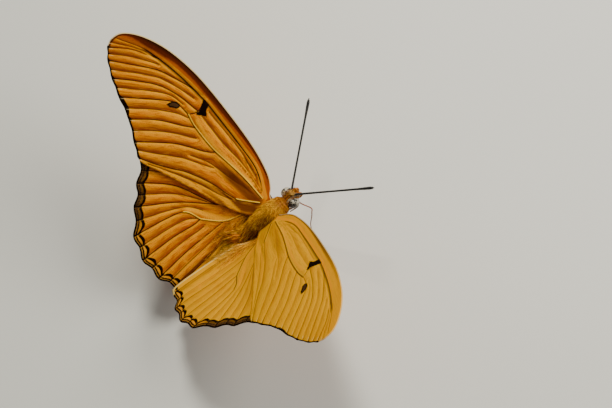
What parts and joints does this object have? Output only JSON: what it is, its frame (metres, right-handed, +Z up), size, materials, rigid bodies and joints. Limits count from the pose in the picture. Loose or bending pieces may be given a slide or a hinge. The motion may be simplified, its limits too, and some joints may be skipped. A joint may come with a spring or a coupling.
{
  "type": "julia butterfly model",
  "caption": "Life-size still model of a julia butterfly with long orange wings raised in an open V, standing on its legs.",
  "frame": {"origin": "on the floor, under the middle of the model's box", "axes": "+Z up from the floor, +X to the butterfly's left across the wingspan, -Y the way the head faces"},
  "size_m": [0.0714, 0.045, 0.0389],
  "materials": {
    "wing_scales": "deep orange scaled membrane with raised veins, dark rim, bar and spot",
    "fur": "golden brown hair over dark chitin",
    "eye": "smooth grey compound eye with dark mottling",
    "antenna": "black, finely ringed, with a slim club",
    "proboscis": "red-brown, finely ringed tube",
    "leg": "brown scaled leg with a paler underside"
  },
  "bodies": {
    "root": {"abdomen": "fur", "antenna_left": "antenna", "antenna_right": "antenna", "eye_left": "eye", "eye_right": "eye", "foreleg_left": "leg", "foreleg_right": "leg", "forewing_left": "wing_scales", "forewing_right": "wing_scales", "head": "fur", "hindleg_left": "leg", "hindleg_right": "leg", "hindwing_left": "wing_scales", "hindwing_right": "wing_scales", "midleg_left": "leg", "midleg_right": "leg", "palp_left": "fur", "palp_right": "fur", "proboscis": "proboscis", "thorax": "fur"}
  },
  "joints": []
}
